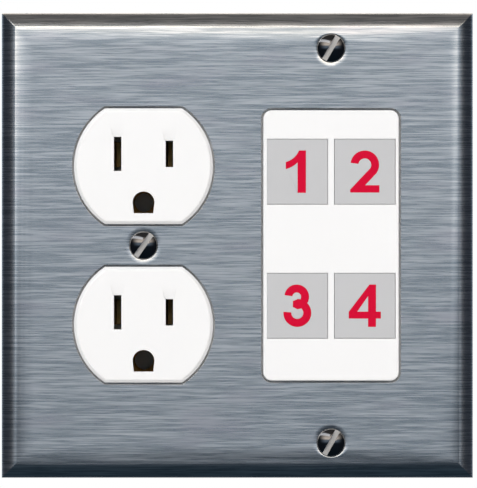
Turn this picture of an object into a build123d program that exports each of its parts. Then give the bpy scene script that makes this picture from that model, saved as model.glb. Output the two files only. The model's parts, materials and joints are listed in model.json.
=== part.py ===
"""Two-gang wall outlet: a duplex receptacle and a four-port insert behind one stainless cover plate.

Frame: millimetres, +X right and +Z up as seen from the room, +Y into the wall. The origin lies on the
finished wall surface, at the centre of the four box screws. "out" is the distance in front of the wall,
towards the room, so it runs along -Y, and negative values lie inside the wall box.
"""

import os
from math import cos, pi, radians, sin, tan

from build123d import *

# ---- standard spacings -------------------------------------------------------------------------------
GANG_PITCH = 46.04  # between the centre lines of two gangs
BOX_SCREW_PITCH = 83.34  # between a device's two box screws
INSERT_SCREW_PITCH = 96.84  # between the plate screws of a decorator opening
OUTLET_PITCH = 38.9  # between the two outlet faces
BLADE_PITCH = 12.7  # between the two blades of a plug
GROUND_DROP = 11.9  # from the blades' centre line down to the ground pin

# ---- cover plate -------------------------------------------------------------------------------------
PLATE_W = 115.9
PLATE_H = 114.3
PLATE_DEPTH = 5.6
SHEET = 0.9
ROLL_R = 4.6  # rolled edge, outside
CROWN_R = 32.0  # slow curve between the rolled edge and the flat
CROWN_TILT = 7.0  # degrees where the roll hands over to the crown
DIMPLE_R = 4.6
DIMPLE_DEPTH = 0.15

# ---- screws ------------------------------------------------------------------------------------------
SCREW_R = 1.753  # number 6 thread, over the crests
SCREW_RUN = 0.04  # radial clearance of a number 6 thread in its hole
TERMINAL_R = 2.08  # number 8 thread
PLATE_SCREW_HEAD_R = 3.4
PLATE_SCREW_LENGTH = 12.7  # from the rim of the oval head to the tip
PLATE_SCREW_DOME = 1.05
PLATE_SCREW_RIM = 0.15
COUNTERSINK_HALF_ANGLE = 41.0
SEAT_CLEARANCE = 0.05
DRIVER_SLOT_W = 1.3
DRIVER_SLOT_DEPTH = 1.0
PLATE_SCREW_TURNS = {"center": -35.0, "top": -30.0, "bottom": -29.0}  # slot, degrees from upright
BOX_SCREW_HEAD_R = 3.9
BOX_SCREW_HEAD_H = 2.2
BOX_SCREW_LENGTH = 19.0
BOX_SCREW_NECK_R = 1.45
RETAINER_SIDE = 8.5
RETAINER_T = 0.4
RETAINER_RUN = 0.05

# ---- receptacle --------------------------------------------------------------------------------------
FACE_R = 17.05
FACE_H = 28.4
FACE_GAP = 0.5  # from an outlet face to its opening in the plate
FACE_PROUD = 0.7
FACE_EDGE = 0.7
FLANGE_W = 35.4
FLANGE_H = 69.0
FLANGE_T = 1.4
SLOT_W = 1.85
NEUTRAL_SLOT_H = 8.4
HOT_SLOT_H = 6.5
BLADE_RISE = 3.03  # blades' centre line above the middle of an outlet face
GROUND_HOLE_R = 2.7
GROUND_HOLE_H = 5.34
GROUND_HOLE_FOOT = 4.8  # width of the ground hole along its flat
RAMP_H = 3.2  # lead-in ramp above each blade slot
RAMP_W = 4.6
RAMP_DEPTH = 0.6
STRAP_T = 1.2
STRAP_WEB_W = 7.6
STRAP_L = 106.0
EAR_W = 20.6
PLASTER_EAR_R = 5.0
BASE_W = 32.6
BASE_H = 69.0
BASE_DEPTH = 22.5  # behind the wall surface
POCKET_CLEARANCE = 0.2  # round a contact in its pocket
BUS_T = 0.8
LEAF_T = 0.6
LEAF_GAP = 1.1
LEAF_W = 6.2  # height of a contact leaf, along the blade
LEAF_MOUTH = 3.2  # how far the leaves' flared mouth lies behind the wall surface
BUS_X = 13.7  # inner side of a bus bar, from the receptacle's centre line
BUS_TOP = -3.6
BUS_BOTTOM = -12.6
FIN_H = 3.4  # break-off fin that links the two terminals of a bus bar
TERMINAL_Z = 9.5
TERMINAL_OUT = -8.1
GROUND_TERMINAL_Z = -29.7
GROUND_TERMINAL_OUT = -5.6
TAB_X = 13.5  # inner side of the ground terminal's tab
TAB_H = 7.4
TAB_DEPTH = 10.6
CLAMP_W = 8.0
CLAMP_H = 8.6
CLAMP_T = 1.0
CLAMP_GAP = 0.1
TERMINAL_HEAD_R = 3.7
TERMINAL_HEAD_T = 1.8
TERMINAL_SHANK = 7.2
GROUND_SLEEVE_R = 2.3  # inside
GROUND_SLEEVE_T = 0.6
GROUND_SLEEVE_L = 11.5  # with its funnel, behind the strap
GROUND_MOUTH_R = 3.6  # of the funnel, inside
GROUND_FUNNEL_L = 3.4
GROUND_POCKET = 17.0  # depth behind the wall that a ground pin may reach
GROUND_FOOT_W = 15.2
GROUND_FOOT_H = 9.4
GROUND_FOOT_T = 0.8
RIVET_X = 5.6
RIVET_R = 1.0
RIVET_HEAD_R = 1.6
RIVET_HEAD_T = 0.6
ASSEMBLY_SCREW_R = 1.3
ASSEMBLY_HEAD_R = 2.6
ASSEMBLY_HEAD_T = 1.8
ASSEMBLY_BITE = 3.0  # into the face
WIRE_HOLE_R = 1.25  # push-in wire holes in the back of the base
WIRE_HOLE_DEPTH = 6.0
WIRE_HOLE_X = 9.8
WIRE_HOLE_SPOTS = (5.8, 13.2)
RELEASE_SLOT = (1.0, 3.0)
ASSEMBLY_SPOTS = [(-11.3, 30.2), (11.3, 30.2), (11.3, -30.2), (-11.3, -22.4)]

# ---- port insert -------------------------------------------------------------------------------------
INSERT_W = 33.3
INSERT_H = 66.4
INSERT_CORNER_R = 2.1
INSERT_GAP = 0.5
INSERT_PROUD = 0.5
INSERT_EDGE_R = 0.35
INSERT_FLANGE_W = 36.0
INSERT_FLANGE_H = 70.4
INSERT_FLANGE_OUT = 2.6
INSERT_EAR_T = 1.6
INSERT_EAR_W = 33.0
PANEL_T = 1.2  # lip of each port aperture
CELL_WALL = 1.3
CELL_DEPTH = 8.0  # behind the wall surface
CELL_STEP = 1.2  # the cell is taller than its aperture by this, above and below
PORT_W = 14.85
PORT_H = 15.9
PORT_PITCH_X = 16.56
PORT_ROWS = (18.1, -14.8)
PORT_GAP = 0.12
BLANK_WALL = 1.1
BLANK_BACK = 4.0  # how far a blank's body reaches behind the wall surface
TONGUE_W = 8.0
TONGUE_T = 1.0
TONGUE_L = 5.6
TONGUE_PAD = 1.6
NUMERAL_DEPTH = 0.4
NUMERAL_H = 10.4
NUMERAL_STROKE = 1.95

# ---- places worked out from the sizes ----------------------------------------------------------------
RECEPTACLE_X = -GANG_PITCH / 2
INSERT_X = GANG_PITCH / 2
FACE_OUT = PLATE_DEPTH + FACE_PROUD
INSERT_OUT = PLATE_DEPTH + INSERT_PROUD
OUTLETS_Z = (OUTLET_PITCH / 2, -OUTLET_PITCH / 2)
BLADES_Z = tuple(z + BLADE_RISE for z in OUTLETS_Z)
GROUNDS_Z = tuple(z - GROUND_DROP for z in BLADES_Z)
SEAT_OUT = PLATE_DEPTH - DIMPLE_DEPTH
SEAT_R = PLATE_SCREW_HEAD_R + 0.15
PLATE_HOLE_R = SCREW_R + 0.2
SEAT_TAPER = tan(radians(COUNTERSINK_HALF_ANGLE))
SEAT_BOTTOM = SEAT_OUT - (SEAT_R - PLATE_HOLE_R) / SEAT_TAPER
CLEARANCE_ALONG = SEAT_CLEARANCE / sin(radians(COUNTERSINK_HALF_ANGLE))
HEAD_RIM_OUT = SEAT_OUT - (SEAT_R - PLATE_SCREW_HEAD_R) / SEAT_TAPER + CLEARANCE_ALONG
PLATE_SCREWS = {
    "center": (RECEPTACLE_X, 0.0),
    "top": (INSERT_X, INSERT_SCREW_PITCH / 2),
    "bottom": (INSERT_X, -INSERT_SCREW_PITCH / 2),
}
PORT_CENTRES = [
    (INSERT_X + side * PORT_PITCH_X / 2, z) for z in PORT_ROWS for side in (-1, 1)
]


def wall_plane(out=0.0):
    """Plane facing the room, at a distance in front of the wall. Its own x is +X and its own y is +Z."""
    return Plane(origin=(0, -out, 0), x_dir=(1, 0, 0), z_dir=(0, -1, 0))


def side_plane(x, side):
    """Plane facing sideways at x, along +X or -X. Its own x runs into the wall and its own y is +Z."""
    return Plane(origin=(x, 0, 0), x_dir=(0, side, 0), z_dir=(side, 0, 0))


def axis_profile_plane(x, z):
    """Plane through a screw's axis. Its own x is the radius and its own y is the distance out."""
    return Plane(origin=(x, 0, z), x_dir=(1, 0, 0), z_dir=(0, 0, -1))


def screw_axis(x, z):
    return Axis((x, 0, z), (0, -1, 0))


def save(piece, label):
    piece.part.label = label
    export_step(piece.part, f"parts/{label}.step")


def rolled_section(half, depth, roll_r, crown_r, back):
    """Half of the plate's section, mirrored: back line, lip, rolled edge, crown and flat."""
    tilt = radians(CROWN_TILT)
    roll_x = half - roll_r
    roll_y = depth - crown_r - (roll_r - crown_r) * cos(tilt)
    crown_x = roll_x + (roll_r - crown_r) * sin(tilt)
    with BuildSketch() as section:
        with BuildLine():
            Polyline((0, depth), (0, back), (half, back), (half, roll_y))
            CenterArc((roll_x, roll_y), roll_r, 0, 90 - CROWN_TILT)
            CenterArc((crown_x, depth - crown_r), crown_r, 90 - CROWN_TILT, CROWN_TILT)
            Line((crown_x, depth), (0, depth))
        make_face()
        mirror(about=Plane.YZ)
    return section.sketch


def rolled_block(width, height, depth, inset, back):
    """Block whose four front edges are rolled and meet in mitres; inset moves every surface inwards."""
    with BuildPart() as block:
        with BuildSketch(Plane(origin=(0, 0, 0), x_dir=(1, 0, 0), z_dir=(0, 0, -1))):
            add(rolled_section(width / 2 - inset, depth - inset, ROLL_R - inset, CROWN_R - inset, back))
        extrude(amount=height / 2 - inset, both=True)
        with BuildSketch(Plane(origin=(0, 0, 0), x_dir=(0, 0, 1), z_dir=(1, 0, 0))):
            add(rolled_section(height / 2 - inset, depth - inset, ROLL_R - inset, CROWN_R - inset, back))
        extrude(amount=width / 2 - inset, both=True, mode=Mode.INTERSECT)
    return block.part


def outlet_outline(grow=0.0):
    """A circle with its top and bottom cut flat."""
    with BuildSketch() as outline:
        Circle(FACE_R + grow)
        Rectangle(3 * FACE_R, FACE_H + 2 * grow, mode=Mode.INTERSECT)
    return outline.sketch


def insert_outline(grow=0.0):
    RectangleRounded(INSERT_W + 2 * grow, INSERT_H + 2 * grow, INSERT_CORNER_R + grow)


def ground_outline():
    """Arch with a flat foot and slightly tapered sides, centred on the ground pin."""
    foot = -GROUND_HOLE_H / 2
    arch = GROUND_HOLE_H / 2 - GROUND_HOLE_R
    with BuildSketch() as hole:
        with BuildLine():
            ThreePointArc((-GROUND_HOLE_R, arch), (0, GROUND_HOLE_H / 2), (GROUND_HOLE_R, arch))
            Polyline(
                (GROUND_HOLE_R, arch), (GROUND_HOLE_FOOT / 2, foot),
                (-GROUND_HOLE_FOOT / 2, foot), (-GROUND_HOLE_R, arch),
            )
        make_face()
    return hole.sketch


# ---- cover plate -------------------------------------------------------------------------------------
def make_wall_plate():
    opening_cut = PLATE_DEPTH + 1
    outer = rolled_block(PLATE_W, PLATE_H, PLATE_DEPTH, 0.0, 0.0)
    hollow = rolled_block(PLATE_W, PLATE_H, PLATE_DEPTH, SHEET, -1.0)
    with BuildPart() as plate:
        add(outer)
        add(hollow, mode=Mode.SUBTRACT)
        for x, z in PLATE_SCREWS.values():
            with BuildSketch(axis_profile_plane(x, z)):
                Polygon(
                    (0, PLATE_DEPTH - SHEET / 2), (DIMPLE_R, PLATE_DEPTH - SHEET / 2),
                    (DIMPLE_R, PLATE_DEPTH - SHEET), (PLATE_HOLE_R + 0.65, SEAT_BOTTOM),
                    (0, SEAT_BOTTOM), align=None,
                )
            revolve(axis=screw_axis(x, z))
        for x, z in PLATE_SCREWS.values():
            with BuildSketch(axis_profile_plane(x, z)):
                Polygon(
                    (0, opening_cut), (DIMPLE_R, opening_cut), (DIMPLE_R, PLATE_DEPTH),
                    (SEAT_R, SEAT_OUT), (PLATE_HOLE_R, SEAT_BOTTOM),
                    (PLATE_HOLE_R, 0), (0, 0), align=None,
                )
            revolve(axis=screw_axis(x, z), mode=Mode.SUBTRACT)
        with BuildSketch(wall_plane()):
            with Locations(*[(RECEPTACLE_X, z) for z in OUTLETS_Z]):
                add(outlet_outline(FACE_GAP))
            with Locations((INSERT_X, 0)):
                insert_outline(INSERT_GAP)
        extrude(amount=opening_cut, mode=Mode.SUBTRACT)
    save(plate, "wall_plate")


def make_plate_screw(name, x, z, turn):
    cone_end = HEAD_RIM_OUT - (PLATE_SCREW_HEAD_R - SCREW_R) / SEAT_TAPER
    rim_top = HEAD_RIM_OUT + PLATE_SCREW_RIM
    apex = rim_top + PLATE_SCREW_DOME
    tip = HEAD_RIM_OUT - PLATE_SCREW_LENGTH
    tip_chamfer = 0.6
    with BuildPart() as screw:
        with BuildSketch(axis_profile_plane(x, z)):
            with BuildLine():
                Polyline(
                    (0, apex), (0, tip), (SCREW_R - tip_chamfer, tip), (SCREW_R, tip + tip_chamfer),
                    (SCREW_R, cone_end), (PLATE_SCREW_HEAD_R, HEAD_RIM_OUT), (PLATE_SCREW_HEAD_R, rim_top),
                )
                dome_r = (PLATE_SCREW_HEAD_R**2 + PLATE_SCREW_DOME**2) / (2 * PLATE_SCREW_DOME)
                RadiusArc((PLATE_SCREW_HEAD_R, rim_top), (0, apex), -dome_r)
            make_face()
        revolve(axis=screw_axis(x, z))
        with BuildSketch(wall_plane(apex)):
            with Locations(Location((x, z), turn)):
                Rectangle(DRIVER_SLOT_W, 3 * PLATE_SCREW_HEAD_R)
        extrude(amount=-DRIVER_SLOT_DEPTH, mode=Mode.SUBTRACT)
    save(screw, f"plate_screw_{name}")


# ---- parts shared by both devices --------------------------------------------------------------------
def make_box_screw(name, x, z, ear_front):
    """Captive mounting screw: domed head, relieved neck in the ear, thread behind the retainer."""
    seat = ear_front + RETAINER_RUN
    neck_end = -RETAINER_T - RETAINER_RUN
    tip = seat - BOX_SCREW_LENGTH
    tip_chamfer = 0.6
    dome_r = (BOX_SCREW_HEAD_R**2 + BOX_SCREW_HEAD_H**2) / (2 * BOX_SCREW_HEAD_H)
    with BuildPart() as screw:
        with BuildSketch(axis_profile_plane(x, z)):
            with BuildLine():
                Polyline(
                    (0, seat + BOX_SCREW_HEAD_H), (0, tip), (SCREW_R - tip_chamfer, tip),
                    (SCREW_R, tip + tip_chamfer), (SCREW_R, neck_end), (BOX_SCREW_NECK_R, neck_end),
                    (BOX_SCREW_NECK_R, seat), (BOX_SCREW_HEAD_R, seat),
                )
                RadiusArc((BOX_SCREW_HEAD_R, seat), (0, seat + BOX_SCREW_HEAD_H), -dome_r)
            make_face()
        revolve(axis=screw_axis(x, z))
        with BuildSketch(wall_plane(seat + BOX_SCREW_HEAD_H)):
            with Locations((x, z)):
                Rectangle(3 * BOX_SCREW_HEAD_R, DRIVER_SLOT_W)
        extrude(amount=-DRIVER_SLOT_DEPTH, mode=Mode.SUBTRACT)
    save(screw, name)


def make_retainers():
    with BuildPart() as retainers:
        with BuildSketch(wall_plane(-RETAINER_T)):
            with GridLocations(GANG_PITCH, BOX_SCREW_PITCH, 2, 2):
                Rectangle(RETAINER_SIDE, RETAINER_SIDE)
                Circle(BOX_SCREW_NECK_R + RETAINER_RUN, mode=Mode.SUBTRACT)
        extrude(amount=RETAINER_T)
    save(retainers, "screw_retainers")


# ---- receptacle --------------------------------------------------------------------------------------
def lead_in(x, z):
    """Ramp above a blade slot: deepest at the slot's top, at z, and widest where it runs out."""
    with BuildPart() as ramp:
        with BuildSketch(side_plane(x, 1)):
            Polygon(
                (-FACE_OUT - 1, z - 0.1), (-FACE_OUT + RAMP_DEPTH, z - 0.1), (-FACE_OUT, z + RAMP_H),
                (-FACE_OUT - 1, z + RAMP_H), align=None,
            )
        extrude(amount=RAMP_W, both=True)
        with BuildSketch(wall_plane(FACE_OUT + 2)):
            with Locations((x, z)):
                Polygon(
                    (-SLOT_W / 2, -1), (SLOT_W / 2, -1), (RAMP_W / 2, RAMP_H + 1),
                    (-RAMP_W / 2, RAMP_H + 1), align=None,
                )
        extrude(amount=-4, mode=Mode.INTERSECT)
    return ramp.part


def make_face_cover():
    with BuildPart() as cover:
        with BuildSketch(wall_plane(STRAP_T)):
            with Locations((RECEPTACLE_X, 0)):
                RectangleRounded(FLANGE_W, FLANGE_H, 2.0)
        extrude(amount=FLANGE_T)
        for outlet_z in OUTLETS_Z:
            with BuildSketch(wall_plane(STRAP_T)):
                with Locations((RECEPTACLE_X, outlet_z)):
                    add(outlet_outline())
            extrude(amount=FACE_OUT - STRAP_T)
        fronts = cover.faces().filter_by(Axis.Y).group_by(Axis.Y)[0]
        chamfer([edge for face in fronts for edge in face.outer_wire().edges()], FACE_EDGE)
        for blade_z in BLADES_Z:
            for side, height in ((-1, NEUTRAL_SLOT_H), (1, HOT_SLOT_H)):
                x = RECEPTACLE_X + side * BLADE_PITCH / 2
                add(lead_in(x, blade_z + height / 2), mode=Mode.SUBTRACT)
        for blade_z, ground_z in zip(BLADES_Z, GROUNDS_Z):
            with BuildSketch(wall_plane(FACE_OUT)):
                with Locations((RECEPTACLE_X - BLADE_PITCH / 2, blade_z)):
                    Rectangle(SLOT_W, NEUTRAL_SLOT_H)
                with Locations((RECEPTACLE_X + BLADE_PITCH / 2, blade_z)):
                    Rectangle(SLOT_W, HOT_SLOT_H)
                with Locations((RECEPTACLE_X, ground_z)):
                    add(ground_outline())
            extrude(amount=-FACE_OUT, mode=Mode.SUBTRACT)
        with BuildSketch(wall_plane(STRAP_T)):
            with Locations((RECEPTACLE_X, 0)):
                Circle(DIMPLE_R + 0.2)
        extrude(amount=FACE_OUT, mode=Mode.SUBTRACT)
        with BuildSketch(wall_plane(STRAP_T)):
            with Locations(*rivet_spots()):
                Circle(RIVET_HEAD_R + POCKET_CLEARANCE)
        extrude(amount=RIVET_HEAD_T + POCKET_CLEARANCE, mode=Mode.SUBTRACT)
        with BuildSketch(wall_plane(STRAP_T)):
            with Locations(*assembly_spots()):
                Circle(ASSEMBLY_SCREW_R + 0.02)
        extrude(amount=ASSEMBLY_BITE + 0.2, mode=Mode.SUBTRACT)
    save(cover, "receptacle_face")


def rivet_spots():
    return [(RECEPTACLE_X + side * RIVET_X, z) for z in GROUNDS_Z for side in (-1, 1)]


def assembly_spots():
    return [(RECEPTACLE_X + x, z) for x, z in ASSEMBLY_SPOTS]


def strap_outline(grow=0.0):
    """The part of the strap that lies between the face and the base, grown by a clearance."""
    with Locations((RECEPTACLE_X, 0)):
        Rectangle(STRAP_WEB_W + 2 * grow, BASE_H + 2)
        Rectangle(12.0 + 2 * grow, 8.0 + 2 * grow)
    with Locations(*[(RECEPTACLE_X, z) for z in GROUNDS_Z]):
        Rectangle(GROUND_FOOT_W + 2 * grow, GROUND_FOOT_H + 2 * grow)
    with Locations((RECEPTACLE_X - (TAB_X + STRAP_T) / 2, GROUND_TERMINAL_Z)):
        Rectangle(TAB_X + STRAP_T + 2 * grow, TAB_H + 2 * grow)


def make_strap():
    ear_start = BASE_H / 2 + 0.4
    ear_mid = (STRAP_L / 2 + ear_start) / 2
    ear_length = STRAP_L / 2 - ear_start
    plaster_x = EAR_W / 2 + PLASTER_EAR_R - 1.6
    plaster_z = STRAP_L / 2 - PLASTER_EAR_R - 0.3
    with BuildPart() as strap:
        with BuildSketch(wall_plane(0)):
            strap_outline()
            for end in (-1, 1):
                with Locations((RECEPTACLE_X, end * ear_mid)):
                    RectangleRounded(EAR_W, ear_length, 1.5)
                for side in (-1, 1):
                    with Locations((RECEPTACLE_X + side * plaster_x, end * plaster_z)):
                        Circle(PLASTER_EAR_R)
                        Circle(SCREW_R + 0.15, mode=Mode.SUBTRACT)
                    with Locations((RECEPTACLE_X + side * (EAR_W / 2 + 0.7), end * (plaster_z - 3.9))):
                        Rectangle(1.2, 1.3, mode=Mode.SUBTRACT)
                with Locations((RECEPTACLE_X, end * BOX_SCREW_PITCH / 2)):
                    SlotOverall(7.4, 2 * SCREW_R + 0.5, mode=Mode.SUBTRACT)
            with Locations((RECEPTACLE_X, 0)):
                Circle(SCREW_R + SCREW_RUN, mode=Mode.SUBTRACT)
            with Locations(*[(RECEPTACLE_X, z) for z in GROUNDS_Z]):
                Circle(GROUND_MOUTH_R, mode=Mode.SUBTRACT)
            with Locations(*rivet_spots()):
                Circle(RIVET_R, mode=Mode.SUBTRACT)
        extrude(amount=STRAP_T)
        with BuildSketch(side_plane(RECEPTACLE_X - TAB_X, -1)):
            with Locations((STRAP_T / 2 - TAB_DEPTH / 2, GROUND_TERMINAL_Z)):
                Rectangle(TAB_DEPTH + STRAP_T, TAB_H)
            with Locations((GROUND_TERMINAL_OUT, GROUND_TERMINAL_Z)):
                Circle(TERMINAL_R + SCREW_RUN, mode=Mode.SUBTRACT)
        extrude(amount=STRAP_T)
    save(strap, "mounting_strap")


def bus_channels(grow):
    """Sketch of the pockets of one receptacle's bus bars, grown by a clearance."""
    z_high = BLADES_Z[0] + LEAF_W / 2
    z_low = BLADES_Z[1] - LEAF_W / 2
    clip_x = BLADE_PITCH / 2
    for side in (-1, 1):
        with Locations((RECEPTACLE_X + side * (BUS_X + BUS_T / 2), (z_high + z_low) / 2)):
            Rectangle(BUS_T + 2 * grow, z_high - z_low + 2 * grow)
        for z in BLADES_Z:
            with Locations((RECEPTACLE_X + side * (BUS_X + clip_x) / 2, z)):
                Rectangle(BUS_X - clip_x + 2 * grow, LEAF_W + 2 * grow)
            with Locations((RECEPTACLE_X + side * clip_x, z)):
                Rectangle(LEAF_GAP + 2 * LEAF_T + 1.6 + 2 * grow, NEUTRAL_SLOT_H + 2 * grow)


def make_base():
    window_high = TERMINAL_Z + CLAMP_H / 2 + 0.9
    with BuildPart() as base:
        with BuildSketch(wall_plane(STRAP_T)):
            with Locations((RECEPTACLE_X, 0)):
                RectangleRounded(BASE_W, BASE_H, 2.0)
        extrude(amount=-(BASE_DEPTH + STRAP_T))
        chamfer(base.faces().sort_by(Axis.Y)[-1].outer_wire().edges(), 0.8)
        with BuildSketch(wall_plane(STRAP_T)):
            strap_outline(POCKET_CLEARANCE)
        extrude(amount=-STRAP_T, mode=Mode.SUBTRACT)
        with BuildSketch(wall_plane(STRAP_T)):
            bus_channels(POCKET_CLEARANCE)
        extrude(amount=BUS_BOTTOM - STRAP_T - POCKET_CLEARANCE, mode=Mode.SUBTRACT)
        with BuildSketch(wall_plane(0)):
            with Locations(*[(RECEPTACLE_X, z) for z in GROUNDS_Z]):
                Rectangle(GROUND_FOOT_W + 2 * POCKET_CLEARANCE, GROUND_FOOT_H + 2 * POCKET_CLEARANCE)
        extrude(amount=-GROUND_FOOT_T, mode=Mode.SUBTRACT)
        with BuildSketch(wall_plane(0)):
            with Locations(*rivet_spots()):
                Circle(RIVET_HEAD_R + POCKET_CLEARANCE)
        extrude(amount=-(GROUND_FOOT_T + RIVET_HEAD_T + POCKET_CLEARANCE), mode=Mode.SUBTRACT)
        with BuildSketch(wall_plane(0)):
            with Locations(*[(RECEPTACLE_X, z) for z in GROUNDS_Z]):
                Circle(GROUND_SLEEVE_R + GROUND_SLEEVE_T + 0.4)
        extrude(amount=-GROUND_POCKET, mode=Mode.SUBTRACT)
        with BuildSketch(wall_plane(0)):
            with Locations(*[(RECEPTACLE_X, z) for z in GROUNDS_Z]):
                Circle(GROUND_MOUTH_R + GROUND_SLEEVE_T + POCKET_CLEARANCE)
        extrude(amount=-GROUND_FUNNEL_L, mode=Mode.SUBTRACT)
        with BuildSketch(wall_plane(0)):
            with Locations((RECEPTACLE_X, 0)):
                Circle(SCREW_R + 0.6)
        extrude(amount=-(PLATE_SCREW_LENGTH - HEAD_RIM_OUT + 1.5), mode=Mode.SUBTRACT)
        for side in (-1, 1):
            for end in (-1, 1):
                with BuildSketch(side_plane(RECEPTACLE_X + side * BUS_X, side)):
                    with Locations((side * -TERMINAL_OUT, end * (window_high + FIN_H) / 2)):
                        Rectangle(BUS_TOP - BUS_BOTTOM + 2 * POCKET_CLEARANCE, window_high - FIN_H)
                extrude(amount=BASE_W, mode=Mode.SUBTRACT)
                with BuildSketch(side_plane(RECEPTACLE_X + side * BUS_X, side)):
                    with Locations((side * -TERMINAL_OUT, end * TERMINAL_Z)):
                        Circle(TERMINAL_R + 0.3)
                extrude(amount=-(TERMINAL_SHANK - 1), mode=Mode.SUBTRACT)
        with BuildSketch(side_plane(RECEPTACLE_X - TAB_X + 0.2, -1)):
            with Locations((-TAB_DEPTH / 2, GROUND_TERMINAL_Z - 1)):
                Rectangle(TAB_DEPTH + 4, TAB_H + 3.4)
        extrude(amount=BASE_W, mode=Mode.SUBTRACT)
        with BuildSketch(side_plane(RECEPTACLE_X - TAB_X, -1)):
            with Locations((GROUND_TERMINAL_OUT, GROUND_TERMINAL_Z)):
                Circle(TERMINAL_R + 0.3)
        extrude(amount=-(TERMINAL_SHANK - 1), mode=Mode.SUBTRACT)
        with BuildSketch(wall_plane(STRAP_T)):
            with Locations(*assembly_spots()):
                Circle(ASSEMBLY_SCREW_R + 0.05)
        extrude(amount=-(BASE_DEPTH + STRAP_T), mode=Mode.SUBTRACT)
        with BuildSketch(wall_plane(-BASE_DEPTH)):
            with Locations(*assembly_spots()):
                Circle(ASSEMBLY_HEAD_R + 0.15)
        extrude(amount=ASSEMBLY_HEAD_T + 0.2, mode=Mode.SUBTRACT)
        with BuildSketch(wall_plane(-BASE_DEPTH)):
            for side in (-1, 1):
                for end in (-1, 1):
                    with Locations(*[(RECEPTACLE_X + side * WIRE_HOLE_X, end * z) for z in WIRE_HOLE_SPOTS]):
                        Circle(WIRE_HOLE_R)
                    with Locations((RECEPTACLE_X + side * (WIRE_HOLE_X - 3.4), end * sum(WIRE_HOLE_SPOTS) / 2)):
                        Rectangle(*RELEASE_SLOT)
        extrude(amount=WIRE_HOLE_DEPTH, mode=Mode.SUBTRACT)
    save(base, "receptacle_base")


def make_bus(name, side):
    """Brass bar with two terminal pads, a break-off fin between them and a twin-leaf contact per outlet."""
    z_high = BLADES_Z[0] + LEAF_W / 2
    z_low = BLADES_Z[1] - LEAF_W / 2
    clip_x = RECEPTACLE_X + side * BLADE_PITCH / 2
    bar_x = RECEPTACLE_X + side * BUS_X
    flare = 0.5
    leaf_in = LEAF_GAP / 2
    leaf_out = leaf_in + LEAF_T
    with BuildPart() as bus:
        with BuildSketch(side_plane(bar_x, side)):
            with Locations((side * -TERMINAL_OUT, (z_high + z_low) / 2)):
                Rectangle(BUS_TOP - BUS_BOTTOM, z_high - z_low)
            with Locations((side * -(TERMINAL_OUT - 1.7), 0)):
                Rectangle(BUS_TOP - BUS_BOTTOM - 2.4, 2 * FIN_H - 2.4, mode=Mode.SUBTRACT)
            with Locations(*[(side * -TERMINAL_OUT, end * TERMINAL_Z) for end in (-1, 1)]):
                Circle(TERMINAL_R + SCREW_RUN, mode=Mode.SUBTRACT)
        extrude(amount=BUS_T)
        for z in BLADES_Z:
            with BuildSketch(wall_plane(BUS_BOTTOM)):
                with Locations(((bar_x + clip_x + side * (BUS_T - leaf_out)) / 2, z)):
                    Rectangle(abs(bar_x - clip_x) + leaf_out + BUS_T, LEAF_W)
            extrude(amount=BUS_T)
            with BuildSketch(Plane(origin=(clip_x, 0, z), x_dir=(1, 0, 0), z_dir=(0, 0, -1))):
                for lean in (-1, 1):
                    Polygon(
                        (lean * leaf_in, BUS_BOTTOM + BUS_T / 2), (lean * leaf_out, BUS_BOTTOM + BUS_T / 2),
                        (lean * leaf_out, -LEAF_MOUTH - 1.2), (lean * (leaf_out + flare), -LEAF_MOUTH),
                        (lean * (leaf_in + flare), -LEAF_MOUTH), (lean * leaf_in, -LEAF_MOUTH - 1.2),
                        align=None,
                    )
            extrude(amount=LEAF_W / 2, both=True)
    save(bus, name)


def make_ground_contact(name, z):
    """Riveted foot, a funnel for the pin, and a sleeve split along its top and bottom."""
    sleeve_outer = GROUND_SLEEVE_R + GROUND_SLEEVE_T
    funnel_outer = GROUND_MOUTH_R + GROUND_SLEEVE_T
    with BuildPart() as contact:
        with BuildSketch(wall_plane(-GROUND_FOOT_T)):
            with Locations((RECEPTACLE_X, z)):
                RectangleRounded(GROUND_FOOT_W, GROUND_FOOT_H, 1.0)
            with Locations(*[(RECEPTACLE_X + side * RIVET_X, z) for side in (-1, 1)]):
                Circle(RIVET_R, mode=Mode.SUBTRACT)
        extrude(amount=GROUND_FOOT_T)
        with BuildSketch(axis_profile_plane(RECEPTACLE_X, z)):
            Polygon(
                (0, 0), (funnel_outer, 0), (sleeve_outer, -GROUND_FUNNEL_L),
                (sleeve_outer, -GROUND_SLEEVE_L), (0, -GROUND_SLEEVE_L), align=None,
            )
        revolve(axis=screw_axis(RECEPTACLE_X, z))
        with BuildSketch(axis_profile_plane(RECEPTACLE_X, z)):
            Polygon(
                (0, 1), (GROUND_MOUTH_R, 1), (GROUND_MOUTH_R, 0), (GROUND_SLEEVE_R, -GROUND_FUNNEL_L),
                (GROUND_SLEEVE_R, -GROUND_SLEEVE_L - 1), (0, -GROUND_SLEEVE_L - 1), align=None,
            )
        revolve(axis=screw_axis(RECEPTACLE_X, z), mode=Mode.SUBTRACT)
        with BuildSketch(wall_plane(-GROUND_FUNNEL_L - 1)):
            with Locations((RECEPTACLE_X, z + GROUND_SLEEVE_R)):
                Rectangle(1.4, 2.4)
            with Locations((RECEPTACLE_X, z - GROUND_SLEEVE_R)):
                Rectangle(0.9, 2.4)
        extrude(amount=-GROUND_SLEEVE_L, mode=Mode.SUBTRACT)
    save(contact, name)


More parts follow.
